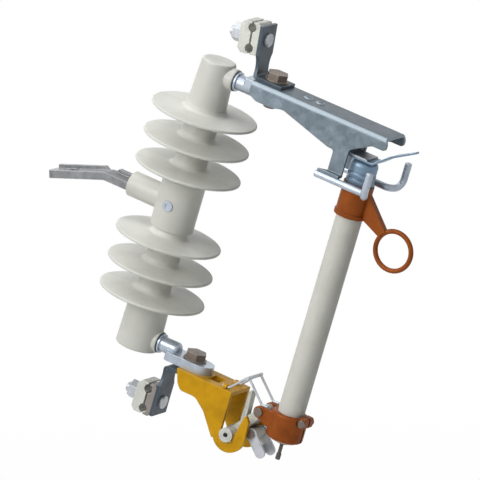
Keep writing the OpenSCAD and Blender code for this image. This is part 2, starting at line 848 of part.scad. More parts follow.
module left_hook() {
    on_insulator() mirror([0, 1, 0]) hook_rod();
}

module right_hook() {
    on_insulator() hook_rod();
}

// Under side of the contact leaf: flat root, slope, and level run over the cap up to a point along it
function leaf_back(along) = [
    [leaf_start, palm_face - leaf_t - backing_t],
    [leaf_start + leaf_root, palm_face - leaf_t - backing_t],
    [leaf_flat, leaf_level],
    [leaf_flat + along * leaf_run, leaf_level]
];
// The whole leaf rises in a lip past that run, and its backing spring ends over the cap
lip_start = leaf_flat + leaf_run;
leaf_path = rounded_path(concat(leaf_back(1), [
    [lip_start + lip_reach * 0.4, leaf_level + lip_rise / 2],
    [lip_start + lip_reach, leaf_level + lip_rise]
]), bend_r);
backing_path = rounded_path(leaf_back(0.75), bend_r);

// Rivet holes through the leaf's root
module rivet_holes() {
    for (out = leaf_rivets)
        translate([out, 0, palm_face])
            cylinder(d = rivet_d + 2 * seat_gap, h = 4 * (leaf_t + backing_t), center = true);
}

module upper_contact() {
    color("silver")
        on_insulator()
            difference() {
                strip(leaf_path, 0, leaf_t, leaf_w);
                rivet_holes();
                for (flip = [0, 1])
                    mirror([0, flip, 0])
                        translate([0, 0, leaf_level - past])
                            linear_extrude(lip_rise + leaf_t + 2 * past)
                                polygon([
                                    [lip_start, leaf_w / 2 + past],
                                    [lip_start + lip_reach + leaf_t, lip_w / 2],
                                    [lip_start + lip_reach + leaf_t, leaf_w / 2 + past]
                                ]);
            }
}

module contact_spring() {
    color("darkgray")
        on_insulator()
            difference() {
                strip(backing_path, leaf_t, leaf_t + backing_t, leaf_w);
                rivet_holes();
            }
}

module contact_rivets() {
    under = palm_face - leaf_t - backing_t;
    color("silver")
        on_insulator()
            for (out = leaf_rivets) translate([out, 0, under]) {
                cylinder(d = rivet_d, h = channel_top - under);
                mirror([0, 0, 1]) rounded_bar(rivet_head_d, rivet_head_h, rivet_head_h / 2);
            }
}

// Line terminals as [distance out, foot level, backward lean, strap's rise, clamp bolt's rise]
upper_terminal = [upper_out, channel_top, upper_back, upper_rise, upper_clamp_rise];
lower_terminal = [lower_out, bracket_under, lower_back, lower_rise, lower_clamp_rise];

// Frame of a terminal strap's upright: z runs up the strap, x = 0 is its inner face
module on_upright(terminal) {
    translate([terminal[0], 0, terminal[1]]) rotate([0, -terminal[2], 0]) children();
}

// The same, with its origin on the clamp bolt's axis
module on_clamp(terminal) {
    on_upright(terminal) translate([0, 0, terminal[4]]) children();
}

// Bent terminal strap with a waist over its bend
module terminal_strap(terminal) {
    rise = terminal[3];
    back = terminal[2];
    path = rounded_path([
        [terminal_foot - terminal[0], 0],
        [0, 0],
        [-rise * sin(back), rise * cos(back)]
    ], terminal_bend_r);
    waist = terminal_w / 2 - waist_w / 2;
    waist_up = sqrt(waist * (2 * waist_r - waist));
    color("darkslategray")
        difference() {
            translate([terminal[0], 0, terminal[1]]) strip(path, -terminal_t, 0, terminal_w);
            translate([palm_bolt_out, 0, terminal[1]])
                cylinder(d = palm_bolt_d + 2 * bolt_gap, h = 4 * terminal_t, center = true);
            on_clamp(terminal) translate([-past, 0, 0])
                bar_out(clamp_bolt_d + 2 * bolt_gap, terminal_t + 2 * past);
            for (side = [-1, 1])
                on_upright(terminal) translate([-past, side * (waist_w / 2 + waist_r), waist_up])
                    bar_out(2 * waist_r, terminal_t + 2 * past);
        }
}

// One jaw of a clamp, of thickness t from x = 0 outwards, with its grooves centred at x = face
module clamp_jaw(t, face) {
    half = clamp_h / 2;
    corner = t / 3;
    difference() {
        across(clamp_w)
            difference() {
                polygon(rounded_loop([
                    [0, -half, 1],
                    [0, half, 1],
                    [t - corner, half, 1],
                    [t, half - corner, 1],
                    [t, corner - half, 1],
                    [t - corner, -half, 1]
                ]));
                for (side = [-1, 1]) translate([face, side * groove_side]) circle(d = groove_d);
            }
        translate([-past, 0, 0]) bar_out(clamp_bolt_d + 2 * bolt_gap, t + 2 * past);
    }
}

module clamp_body(terminal) {
    color("gainsboro")
        on_clamp(terminal)
            translate([-clamp_body_t, 0, 0]) clamp_jaw(clamp_body_t, -jaw_gap / 2);
}

module clamp_keeper(terminal) {
    color("gainsboro")
        on_clamp(terminal)
            translate([-clamp_body_t - jaw_gap, 0, 0])
                mirror([1, 0, 0]) clamp_jaw(clamp_keeper_t, -jaw_gap / 2);
}

module clamp_bolt(terminal) {
    grip = terminal_t + clamp_body_t + jaw_gap + clamp_keeper_t;
    color("silver")
        on_clamp(terminal)
            translate([terminal_t, 0, 0])
                rotate([0, 90, 0]) {
                    rounded_bar(clamp_head_d, clamp_head_h, clamp_head_h / 2);
                    mirror([0, 0, 1]) {
                        cylinder(d = clamp_bolt_d, h = grip + washer_t + clamp_nut_h + bolt_tail);
                        translate([0, 0, grip]) {
                            cylinder(d = clamp_washer_d, h = washer_t);
                            translate([0, 0, washer_t]) hex(clamp_nut_af, clamp_nut_h);
                        }
                    }
                }
}

module upper_terminal_strap() {
    on_insulator() terminal_strap(upper_terminal);
}

module upper_clamp_body() {
    on_insulator() clamp_body(upper_terminal);
}

module upper_clamp_keeper() {
    on_insulator() clamp_keeper(upper_terminal);
}

module upper_clamp_bolt() {
    on_insulator() clamp_bolt(upper_terminal);
}

module lower_terminal_strap() {
    on_insulator() mirror([0, 0, 1]) terminal_strap(lower_terminal);
}

module lower_clamp_body() {
    on_insulator() mirror([0, 0, 1]) clamp_body(lower_terminal);
}

module lower_clamp_keeper() {
    on_insulator() mirror([0, 0, 1]) clamp_keeper(lower_terminal);
}

module lower_clamp_bolt() {
    on_insulator() mirror([0, 0, 1]) clamp_bolt(lower_terminal);
}

// Bolt along the insulator through a palm, with its head over z = top and its nut under z = bottom
module palm_bolt(top, bottom) {
    color("rosybrown")
        translate([palm_bolt_out, 0, 0]) {
            translate([0, 0, bottom - washer_t - palm_bolt_head - bolt_tail])
                cylinder(d = palm_bolt_d, h = top - bottom + washer_t + palm_bolt_head + bolt_tail + past);
            translate([0, 0, top]) {
                cylinder(d = washer_d, h = washer_t);
                translate([0, 0, washer_t]) hex(palm_bolt_af, palm_bolt_head);
            }
            translate([0, 0, bottom]) mirror([0, 0, 1]) {
                cylinder(d = washer_d, h = washer_t);
                translate([0, 0, washer_t]) hex(palm_bolt_af, palm_bolt_head);
            }
        }
}

module channel_bolt() {
    on_insulator() palm_bolt(channel_top + terminal_t, palm_face - palm_t);
}

module hinge_bolt() {
    on_insulator() palm_bolt(palm_t - palm_face, -bracket_under - terminal_t);
}

// Outline of the bracket's side plates, without the slot
module bracket_side() {
    polygon(rounded_loop([
        [bracket_start, -bracket_face, 0],
        [trunnion_out - slot_r, -bracket_face, 0],
        [trunnion_out - slot_r, -trunnion_drop, 0],
        [trunnion_out - lobe_r + ease_r, -trunnion_drop - lobe_r / 2, 0],
        [trunnion_out - knee_in, -trunnion_drop + knee_up, bend_r],
        [trunnion_out - heel_in, -bracket_face - heel_drop, wide_r],
        [bracket_start + heel_drop / 2, -bracket_face - heel_drop, bend_r],
        [bracket_start + heel_drop / 4, -bracket_face - heel_drop * 0.7, ease_r]
    ]));
    translate(lobe_at) circle(lobe_r);
    polygon(rounded_loop([
        [trunnion_out, -trunnion_drop, 0],
        [lobe_at[0] + lobe_r, -trunnion_drop, 0],
        [lobe_at[0] + lobe_r - past, -finger_drop - bend_r, ease_r],
        [lobe_at[0] + lobe_r - bend_r, -finger_drop, past],
        [trunnion_out + slot_r + slot_flare - past, -finger_drop - ease_r, past]
    ]));
}

// Slot that the trunnion drops into: open upwards, with a round bottom
module bracket_slot() {
    translate(trunnion_at) circle(slot_r);
    polygon([
        [trunnion_out - slot_r, -trunnion_drop],
        [trunnion_out + slot_r, -trunnion_drop],
        [trunnion_out + slot_r + slot_flare, -finger_drop + past],
        [trunnion_out - slot_r, -bracket_face + past]
    ]);
}

module hinge_bracket() {
    plate_end = trunnion_out - slot_r;
    color("goldenrod")
        on_insulator()
            difference() {
                union() {
                    for (side = [-1, 1])
                        across(bracket_t, side * (bracket_w - bracket_t) / 2)
                            difference() {
                                bracket_side();
                                bracket_slot();
                            }
                    translate([bracket_start, -bracket_inside - past, -bracket_under])
                        cube([plate_end - bracket_start, 2 * (bracket_inside + past), bracket_t]);
                }
                translate([palm_bolt_out, 0, -bracket_under])
                    cylinder(d = palm_bolt_d + 2 * bolt_gap, h = 3 * bracket_t, center = true);
                translate([window_out - window_l / 2, -window_w / 2, -bracket_under - past])
                    cube([window_l, window_w, bracket_t + 2 * past]);
            }
}

// Formed spring: two wires from the bracket's top, over a cross bar and down onto the casting's arms
module hinge_spring() {
    foot = [wire_start, -bracket_face + wire_d / 2];
    bar = [wire_bar_out, -bracket_face + wire_bar_rise];
    tip = toggle_at + [0, arm_r + wire_gap + wire_d / 2];
    path = rounded_path([foot, foot + [wire_foot, 0], bar, tip, tip + [wire_tip, 0]], wire_d);
    color("mistyrose")
        on_insulator() {
            for (side = [-1, 1])
                rod_along([for (p = path) [p[0], side * wire_side, p[1]]], wire_d, [0, 1, 0], wire_sides);
            translate([bar[0], 0, bar[1] - wire_d / 2])
                bar_across(wire_bar_d, 2 * wire_side + wire_d + 2 * wire_bar_past);
        }
}

// Puts what is drawn about the tube's axis in its place
module on_holder() {
    on_insulator() translate([holder_out, 0, 0]) children();
}

module fuse_tube() {
    color("lightgray")
        on_holder()
            translate([0, 0, holder_level])
                difference() {
                    cylinder(d = tube_d, h = tube_top + tube_drop);
                    translate([0, 0, -past]) cylinder(d = tube_bore_d, h = tube_top + tube_drop + 2 * past);
                }
}

module upper_ferrule() {
    root = tube_d / 2 + past;
    root_top = tube_top - ring_arm_drop;
    root_low = tube_top - ferrule_h + ferrule_lip / 2;
    ring = [ring_out, ring_level];
    run = unit(ring - [root, (root_top + root_low) / 2]);
    edge = ring_arm_w / 2 * [-run[1], run[0]];
    near_ring = ring - run * ring_d / 2;
    color("sienna")
        on_holder()
            difference() {
                union() {
                    translate([0, 0, tube_top - ferrule_h]) {
                        cylinder(d = ferrule_d, h = ferrule_h);
                        cylinder(d = ferrule_d + 2 * lip_step, h = ferrule_lip);
                    }
                    across(ring_arm_t)
                        polygon([
                            [root, root_low],
                            near_ring - edge,
                            near_ring + edge,
                            [root, root_top]
                        ]);
                    translate([ring_out, 0, ring_level])
                        rotate([90, 0, 0])
                            rotate_extrude() translate([ring_d / 2, 0]) circle(d = ring_bar_d);
                }
                translate([0, 0, tube_top - ferrule_h - past])
                    cylinder(d = tube_d + 2 * seat_gap, h = ferrule_h + 2 * past);
            }
}

module top_cap() {
    color("silver")
        on_holder()
            translate([0, 0, tube_top])
                difference() {
                    rounded_bar(cap_d, cap_h, cap_round);
                    for (level = [cap_h / 4, cap_h / 2])
                        translate([0, 0, level])
                            rotate_extrude() translate([cap_d / 2, 0]) circle(d = cap_groove);
                }
}

// Outline of the casting's arms in the x-z plane about the tube's axis
module casting_arm() {
    pivot = [-toggle_in, -toggle_drop];
    translate(pivot) circle(arm_r);
    polygon([
        pivot + [0, arm_r],
        [0, band_top - band_round],
        [0, band_bottom + band_round],
        pivot - [0, arm_r]
    ]);
}

module lower_casting() {
    half = band_h / 2;
    lug_end = lug_bolt_out + lug_past;
    color("sienna")
        on_holder()
            difference() {
                union() {
                    translate([0, 0, band_bottom + half]) {
                        rounded_bar(band_d, half, band_round);
                        mirror([0, 0, 1]) rounded_bar(band_d, half, band_round);
                    }
                    for (side = [-1, 1]) across(arm_t, side * (arm_side + arm_t / 2)) casting_arm();
                    across(lug_w)
                        polygon(rounded_loop([
                            [tube_d / 2 + past, lug_level - lug_h / 2, 0],
                            [lug_end, lug_level - lug_h / 2, ease_r],
                            [lug_end, lug_level + lug_h / 2, ease_r],
                            [tube_d / 2 + past, lug_level + lug_h / 2, 0]
                        ]));
                }
                translate([0, 0, band_bottom - past])
                    cylinder(d = tube_d + 2 * seat_gap, h = band_h + 2 * past);
                translate([0, -slit_w / 2, band_bottom - past])
                    cube([band_d, slit_w, band_h + lug_up + 2 * past]);
                translate([-toggle_in, 0, -toggle_drop]) bar_across(toggle_d + 2 * seat_gap, band_d);
                translate([lug_bolt_out, 0, lug_level]) {
                    bar_across(band_bolt_d + 2 * bolt_gap, lug_w + 2 * past);
                    for (side = [-1, 1])
                        translate([0, side * lug_w, 0]) bar_across(lug_head_d + 2 * bolt_gap, lug_w);
                }
            }
}

module casting_bolt() {
    color("rosybrown")
        on_holder()
            translate([lug_bolt_out, 0, lug_level]) {
                bar_across(band_bolt_d, lug_w);
                for (side = [-1, 1])
                    translate([0, side * (lug_w + head_h) / 2, 0]) bar_across(lug_head_d, head_h);
            }
}

module toggle_pin() {
    length = 2 * (arm_side + arm_t);
    color("rosybrown")
        on_insulator() translate([toggle_at[0], 0, toggle_at[1]]) {
            bar_across(toggle_d, length);
            for (side = [-1, 1])
                translate([0, side * (length + head_h) / 2, 0]) bar_across(toggle_d + 2 * head_over, head_h);
        }
}

// Outline of the trunnion link: eye at the trunnion, arm to the toggle and lug for the ejector
module link_side() {
    translate(trunnion_at) circle(trunnion_r + past);
    translate(toggle_at) circle(arm_r - past);
    translate(ejector_at) circle(cheek_r - past);
    polygon([
        trunnion_at + [-trunnion_r, 0],
        toggle_at + [past - arm_r, 0],
        toggle_at + [arm_r - past, 0],
        trunnion_at + [trunnion_r, 0]
    ]);
    polygon([
        trunnion_at + [0, trunnion_r],
        ejector_at + [0, cheek_r - past],
        ejector_at - [0, cheek_r - past],
        trunnion_at - [0, trunnion_r]
    ]);
}

// Upright tab on the inner side of the link, under the spring's cross bar
module link_tab() {
    polygon(rounded_loop([
        [trunnion_out + tab_l, -trunnion_drop, 0],
        [trunnion_out + 2 * tab_l, -trunnion_drop, 0],
        [trunnion_out + 2 * tab_l, tab_up / 2 - trunnion_drop, 0],
        [trunnion_out + 1.75 * tab_l, tab_up - trunnion_drop, tab_l / 3],
        [trunnion_out + 0.75 * tab_l, tab_up - trunnion_drop, tab_l / 3]
    ]));
}

module trunnion_link() {
    color("silver")
        on_insulator()
            difference() {
                union() {
                    across(link_t) link_side();
                    across(tab_w) link_tab();
                    translate([trunnion_out, 0, -trunnion_drop]) bar_across(trunnion_d, 2 * trunnion_end);
                }
                translate([toggle_at[0], 0, toggle_at[1]])
                    bar_across(toggle_d + 2 * seat_gap, link_t + 2 * past);
                translate([ejector_at[0], 0, ejector_at[1]])
                    bar_across(ejector_pin_d + 2 * seat_gap, link_t + 2 * past);
                for (side = [-1, 1])
                    translate([trunnion_out, side * trunnion_end, -trunnion_drop])
                        bar_across(trunnion_d / 3, trunnion_d);
            }
}

module fuse_link() {
    sheath_low = holder_level - sheath_below;
    color("dimgray")
        on_holder() {
            translate([0, 0, sheath_low]) cylinder(d = sheath_d, h = sheath_l);
            translate([0, 0, sheath_low - tail_l]) cylinder(d = tail_d, h = tail_l + past);
            translate([0, 0, sheath_low - tail_l]) rounded_bar(crimp_d, crimp_l, crimp_d / 4);
        }
}

module ejector_pin() {
    length = link_t + 2 * (side_gap + ejector_t);
    pin_end = side_gap / 2;
    color("rosybrown")
        on_insulator() translate([ejector_at[0], 0, ejector_at[1]]) {
            bar_across(ejector_pin_d, length + 2 * pin_end + head_h);
            for (side = [-1, 1])
                translate([0, side * (length / 2 + pin_end + head_h / 2), 0])
                    bar_across(ejector_pin_d + 2 * head_over, head_h);
        }
}

// Bent sheet that straddles the link: a cheek with a finger on each side and a bridge under them
module link_ejector() {
    color("silver")
        on_insulator()
            translate([ejector_at[0], 0, ejector_at[1]])
                rotate([0, finger_slope, 0]) {
                    for (side = [-1, 1])
                        across(ejector_t, side * (arm_side + ejector_t / 2))
                            difference() {
                                union() {
                                    circle(cheek_r);
                                    translate([0, -finger_w / 2]) square([finger_l - finger_w / 2, finger_w]);
                                    translate([finger_l - finger_w / 2, 0]) circle(d = finger_w);
                                }
                                circle(d = ejector_pin_d + 2 * pin_gap);
                            }
                    translate([finger_l / 2, -arm_side - past, -finger_w / 2])
                        cube([finger_l / 3, 2 * (arm_side + past), ejector_t]);
                }
}

polymer_housing();
collar_pin();
mounting_strap();
upper_stud();
lower_stud();
top_channel();
channel_bolt();
left_hook();
right_hook();
upper_contact();
contact_spring();
contact_rivets();
upper_terminal_strap();
upper_clamp_body();
upper_clamp_keeper();
upper_clamp_bolt();
hinge_bracket();
hinge_bolt();
hinge_spring();
lower_terminal_strap();
lower_clamp_body();
lower_clamp_keeper();
lower_clamp_bolt();
fuse_tube();
upper_ferrule();
top_cap();
lower_casting();
casting_bolt();
toggle_pin();
trunnion_link();
fuse_link();
ejector_pin();
link_ejector();
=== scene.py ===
"""Polymer fuse cutout: finishes, small hardware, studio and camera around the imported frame."""
import json
import math

import bmesh
import bpy
import numpy as np
from mathutils import Matrix, Quaternion, Vector


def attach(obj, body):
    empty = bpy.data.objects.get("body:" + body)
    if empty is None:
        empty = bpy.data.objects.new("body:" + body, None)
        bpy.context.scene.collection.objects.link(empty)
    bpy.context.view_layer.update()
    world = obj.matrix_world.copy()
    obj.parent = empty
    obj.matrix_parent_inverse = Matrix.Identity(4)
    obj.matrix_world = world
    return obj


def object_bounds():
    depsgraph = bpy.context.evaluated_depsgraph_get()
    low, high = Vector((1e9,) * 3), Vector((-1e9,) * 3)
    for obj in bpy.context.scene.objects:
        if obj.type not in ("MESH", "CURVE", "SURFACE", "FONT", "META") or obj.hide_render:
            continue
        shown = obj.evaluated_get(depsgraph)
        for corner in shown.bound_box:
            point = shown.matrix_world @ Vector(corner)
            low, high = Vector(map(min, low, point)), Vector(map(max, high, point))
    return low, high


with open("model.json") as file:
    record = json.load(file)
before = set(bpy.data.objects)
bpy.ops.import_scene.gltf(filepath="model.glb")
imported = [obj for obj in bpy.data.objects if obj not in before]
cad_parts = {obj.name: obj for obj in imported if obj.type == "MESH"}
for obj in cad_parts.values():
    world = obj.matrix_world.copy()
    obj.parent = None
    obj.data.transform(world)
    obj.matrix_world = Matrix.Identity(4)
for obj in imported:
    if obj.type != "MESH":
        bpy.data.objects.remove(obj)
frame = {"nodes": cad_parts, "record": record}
cad_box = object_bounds()
nodes = frame["nodes"]

# Camera: bearing, height and roll in degrees, distances in metres, sensor in millimetres
CAMERA_BEARING = 28.9
CAMERA_HEIGHT = 7.7
CAMERA_ROLL = -1.9
CAMERA_DISTANCE = 8.0
CAMERA_SENSOR = 36.0
CAMERA_TARGET = Vector((0.17313, 0.0247, -0.06067))
PHOTO_WIDTH = 0.480
FAR_CLIP = 100

# Studio: places and sizes in metres, powers in watts
LAMPS = {
    "key_lamp": {"place": (-0.50, -1.52, 0.80), "size": 0.8, "power": 15.0},
    "front_lamp": {"place": (0.41, -1.82, 0.68), "size": 0.8, "power": 6.5},
    "top_lamp": {"place": (-0.25, -0.55, 1.9), "size": 2.4, "power": 31.0},
    "back_lamp": {"place": (-0.9, 1.5, 0.6), "size": 1.2, "power": 2.5},
}
ROOM_LIGHT = 0.06
WHITE = (1, 1, 1, 1)
FLOOR_DROP = 0.30
FLOOR_SIZE = 12.0
FLOOR_PAPER = (0.86, 0.86, 0.86, 1)
# Share of plain white in the floor near the object, and the distances between which it rises to all
FLOOR_GLOW = 0.95
GLOW_START, GLOW_END = 0.5, 2.5

# The insulator's axis in the model: its lean in radians and the middle of its collar in metres
LEAN = math.radians(20)
COLLAR_X = 0.11768
COLLAR_Z = -0.02251
MM = 0.001
TURN = 2 * math.pi


def tone(red, green, blue):
    """Linear colour of a display colour given from 0 to 255."""
    display = np.array([red, green, blue]) / 255
    linear = np.where(display <= 0.04045, display / 12.92, ((display + 0.055) / 1.055) ** 2.4)
    return (*linear.tolist(), 1.0)


class Value:
    """A shader socket with arithmetic: each operation on values adds one Math node."""

    def __init__(self, tree, socket):
        self.tree = tree
        self.socket = socket

    def math(self, operation, *others):
        inputs = dict(enumerate((self, *others)))
        return self.tree.node("ShaderNodeMath", {"operation": operation}, inputs)

    def __add__(self, other):
        return self.math("ADD", other)

    def __sub__(self, other):
        return self.math("SUBTRACT", other)

    def __mul__(self, other):
        return self.math("MULTIPLY", other)

    def __rsub__(self, other):
        return self.tree.node("ShaderNodeMath", {"operation": "SUBTRACT"}, {0: other, 1: self})

    __radd__ = __add__
    __rmul__ = __mul__

    def size(self):
        """The value without its sign."""
        return self.math("ABSOLUTE")

    def between(self, low, high):
        """0 below low, 1 above high and a smooth rise between them."""
        settings = {"interpolation_type": "SMOOTHSTEP"}
        return self.tree.node("ShaderNodeMapRange", settings, {0: self, 1: low, 2: high})


class ShaderTree:
    """Node tree of a material or of the world, built node by node."""

    def __init__(self, owner):
        owner.use_nodes = True
        self.owner = owner
        self.nodes = owner.node_tree.nodes
        self.links = owner.node_tree.links
        self.nodes.clear()

    def node(self, kind, settings, inputs, output=0):
        """Adds a node with its settings, then its sockets' values or links, and returns one output."""
        made = self.nodes.new(kind)
        for key, value in settings.items():
            setattr(made, key, value)
        for key, value in inputs.items():
            if isinstance(value, Value):
                self.links.new(value.socket, made.inputs[key])
            else:
                made.inputs[key].default_value = value
        return Value(self, made.outputs[output]) if len(made.outputs) else made

    def seen_rays(self):
        """1 for camera, glossy and transmission rays, 0 for the rays that light the object."""
        camera_ray, glossy_ray, transmission_ray = (
            self.node("ShaderNodeLightPath", {}, {}, "Is %s Ray" % kind)
            for kind in ("Camera", "Glossy", "Transmission"))
        return (camera_ray + glossy_ray + transmission_ray).math("MINIMUM", 1.0)


class Finish(ShaderTree):
    """One material with the patterns that the finishes share."""

    def __init__(self, name):
        super().__init__(bpy.data.materials.new(name))
        self.place = self.node("ShaderNodeTexCoord", {}, {}, "Object")

    def noise(self, scale, detail=3.0, rough=0.55):
        """Cloudy noise from 0 to 1, with scale in cells per metre."""
        inputs = {"Vector": self.place, "Scale": scale, "Detail": detail, "Roughness": rough}
        return self.node("ShaderNodeTexNoise", {}, inputs)

    def streaks(self, scales, detail):
        """Noise with its own scale along each of the insulator's axes, in cells per metre."""
        upright = self.node("ShaderNodeMapping", {}, {"Vector": self.place, "Rotation": (0, -LEAN, 0)})
        stretched = self.node("ShaderNodeMapping", {}, {"Vector": upright, "Scale": scales})
        inputs = {"Vector": stretched, "Scale": 1.0, "Detail": detail, "Roughness": 0.55}
        return self.node("ShaderNodeTexNoise", {}, inputs)

    def cells(self, scale, output):
        """Voronoi cells, with scale in cells per metre."""
        return self.node("ShaderNodeTexVoronoi", {}, {"Vector": self.place, "Scale": scale}, output)

    def across(self):
        """Distance from the middle plane of the object, in metres."""
        return self.node("ShaderNodeSeparateXYZ", {}, {"Vector": self.place}, "Y").size()

    def facing(self, direction):
        """Cosine of the angle between the surface and a direction."""
        normal = self.node("ShaderNodeNewGeometry", {}, {}, "Normal")
        settings = {"operation": "DOT_PRODUCT"}
        return self.node("ShaderNodeVectorMath", settings, {0: normal, 1: direction}, "Value")

    def upward(self):
        """1 on faces that look up along the insulator's axis, 0 on its upright faces."""
        return self.facing((math.sin(LEAN), 0, math.cos(LEAN)))

    def bend(self):
        """1 on the rounded bends between a channel's top and sides, 0 on its flat faces; it marks where a
        highlight is painted.
        """
        up = self.upward()
        return up.between(0.15, 0.6) * (1 - up.between(0.9, 0.99))

    def mix(self, first, second, share):
        """Colour between two colours."""
        inputs = {0: share, 6: first, 7: second}
        return self.node("ShaderNodeMix", {"data_type": "RGBA"}, inputs, 2)

    def soft_normal(self, radius):
        """Surface normal with the edges rounded to a radius in metres."""
        return self.node("ShaderNodeBevel", {"samples": 6}, {"Radius": radius})

    def edges(self, radius):
        """1 on outer and inner edges within a radius in metres, 0 on open faces."""
        return 1 - self.facing(self.soft_normal(radius))

    def recess(self, reach):
        """1 deep in corners of the piece, 0 on open faces; reach in metres."""
        settings = {"samples": 6, "only_local": True}
        return 1 - self.node("ShaderNodeAmbientOcclusion", settings, {"Distance": reach}, "AO")

    def bump(self, height, strength, depth, edge):
        """Normal of a surface with a height pattern of a depth in metres, on rounded edges."""
        inputs = {"Height": height, "Strength": strength, "Distance": depth, "Normal": self.soft_normal(edge)}
        return self.node("ShaderNodeBump", {}, inputs)

    def close(self, sockets):
        """Ends the material in one principled shader with these sockets."""
        shader = self.node("ShaderNodeBsdfPrincipled", {}, sockets)
        self.node("ShaderNodeOutputMaterial", {}, {"Surface": shader})
        return self.owner


def moulded(name, colour, speck, painted_light_tone, rough):
    """Moulded polymer: tops painted paler as painted light, faint clouding, fine grain, a mould seam in the
    middle plane and a painted highlight in the corners."""
    f = Finish(name)
    cloud = f.noise(scale=22, detail=4)
    grain = f.noise(scale=900, detail=2)
    streak = f.streaks(scales=(260, 260, 30), detail=3)
    # Mask of the corners and fillets, where a highlight is painted.
    painted_corner_highlight = f.recess(reach=0.014)
    seam = 1 - f.across().between(0.0002, 0.0008)
    stain = cloud.between(0.38, 0.72) * 0.3 + grain.between(0.55, 0.8) * 0.12 + streak.between(0.55, 0.8) * 0.12
    # Faces that look up along the axis are painted towards the pale tone: painted light on the tops.
    base = f.mix(f.mix(colour, painted_light_tone, f.upward().between(0.5, 0.95)), speck, stain)
    # Corners and fillets are painted towards the pale tone: a painted highlight.
    base = f.mix(base, painted_light_tone, painted_corner_highlight.between(0.15, 0.6) * 0.8)
    base = f.mix(base, speck, seam * 0.25)
    skin = grain * 0.5 + cloud * 0.5 + seam * 1.2
    return f.close({
        "Base Color": base,
        "Roughness": rough + (cloud - 0.5) * 0.16 + (grain - 0.5) * 0.1,
        "Specular IOR Level": 0.5,
        "Normal": f.bump(skin, strength=0.4, depth=0.0004, edge=0.0008),
    })


def painted_tube(name, colour, speck):
    """Painted glass-fibre tube: satin paint with wound ridges, runs, scuffs and faint stains."""
    f = Finish(name)
    wound = f.streaks(scales=(160, 160, 900), detail=2)
    runs = f.streaks(scales=(420, 420, 14), detail=3)
    stain = f.noise(scale=30, detail=4)
    scuff = f.streaks(scales=(240, 240, 50), detail=4)
    marks = stain.between(0.42, 0.78) * 0.3 + scuff.between(0.6, 0.75) * 0.25 + runs.between(0.55, 0.75) * 0.2
    return f.close({
        "Base Color": f.mix(colour, speck, marks),
        "Roughness": 0.42 + stain * 0.14 + scuff.between(0.55, 0.75) * 0.15,
        "Specular IOR Level": 0.35,
        "Normal": f.bump(wound + runs * 0.4, strength=0.3, depth=0.0003, edge=0.0008),
    })


def galvanised(name, colour, bright, painted_top_tone, metal, rough):
    """Zinc-coated steel: spangle cells, dull patches, fine speckle, flat tops painted in a tone of their own as
    painted light and shade, bright worn edges and a painted highlight on the rounded bends."""
    f = Finish(name)
    spangle = f.node("ShaderNodeSeparateColor", {}, {"Color": f.cells(170, "Color")})
    patch = f.noise(scale=60, detail=5)
    speckle = f.noise(scale=700, detail=2)
    # Bright worn edges, together with the rounded bends painted bright as a painted highlight.
    worn = f.edges(0.0014).between(0.02, 0.22).math("MAXIMUM", f.bend() * 0.8)
    pale = spangle * 0.2 + patch.between(0.45, 0.8) * 0.28 + speckle.between(0.6, 0.8) * 0.1
    base = f.mix(colour, bright, pale)
    # Flat tops are painted in a tone of their own, darker on the channel and paler on the strap: painted light
    # and shade.
    base = f.mix(base, painted_top_tone, f.upward().between(0.93, 0.99) * 0.6)
    base = f.mix(base, bright, worn * 0.75)
    return f.close({
        "Base Color": base,
        "Metallic": metal,
        "Roughness": rough + (spangle - 0.5) * 0.14 + (patch - 0.5) * 0.2 - worn * 0.1,
        "Normal": f.bump(speckle * 0.5 + patch, strength=0.25, depth=0.0004, edge=0.0009),
    })


def cast_metal(name, colour, deep, bright, metal, rough, sand):
    """Sand casting: pebbled skin of sand grains per metre, dull patches, corners darkened by dirt and painted
    shade, and rubbed edges.
    """
    f = Finish(name)
    skin = f.noise(scale=sand, detail=4, rough=0.6)
    patch = f.noise(scale=55, detail=4)
    pits = f.cells(sand * 0.9, "Distance")
    worn = f.edges(0.0014).between(0.03, 0.3)
    dirt_and_painted_shade = f.recess(0.010).between(0.2, 0.85)
    base = f.mix(colour, deep, patch.between(0.4, 0.75) * 0.4 + skin.between(0.55, 0.8) * 0.2)
    base = f.mix(base, bright, worn * 0.5)
    # Corners darkened towards the deep tone: dirt and painted shade.
    base = f.mix(base, deep, dirt_and_painted_shade * 0.7)
    return f.close({
        "Base Color": base,
        "Metallic": metal,
        "Specular IOR Level": 0.2,
        "Roughness": rough + (skin - 0.5) * 0.2 + dirt_and_painted_shade * 0.15 - worn * 0.1,
        "Normal": f.bump(skin + patch * 0.6 + pits * 0.4, strength=0.45, depth=0.0006, edge=0.0010),
    })


def worked_metal(name, colour, tarnish, bright, metal, rough, drawn):
    """Drawn, forged or plated metal: fine draw lines, tarnish clouds, corners darkened by dirt and painted
    shade, and bright edges.
    """
    f = Finish(name)
    lines = f.streaks(scales=drawn, detail=3)
    cloud = f.noise(scale=70, detail=5)
    worn = f.edges(0.0010).between(0.03, 0.28)
    dirt_and_painted_shade = f.recess(0.005).between(0.25, 0.9)
    base = f.mix(colour, tarnish, cloud.between(0.4, 0.75) * 0.45 + lines.between(0.5, 0.75) * 0.2)
    base = f.mix(base, bright, worn * 0.6)
    # Corners darkened towards the tarnish tone: dirt and painted shade.
    base = f.mix(base, tarnish, dirt_and_painted_shade * 0.6)
    return f.close({
        "Base Color": base,
        "Metallic": metal,
        "Roughness": rough + (cloud - 0.5) * 0.22 + (lines - 0.5) * 0.12 - worn * 0.08 + dirt_and_painted_shade * 0.1,
        "Normal": f.bump(lines * 0.5 + cloud * 0.5, strength=0.22, depth=0.0003, edge=0.0006),
    })


# Draw lines per metre along each axis: even all ways, along a sheet or rod, and up the cap
ALL_WAYS = (420, 420, 420)
ALONG_SHEET = (90, 1500, 90)
UP_CAP = (700, 700, 40)

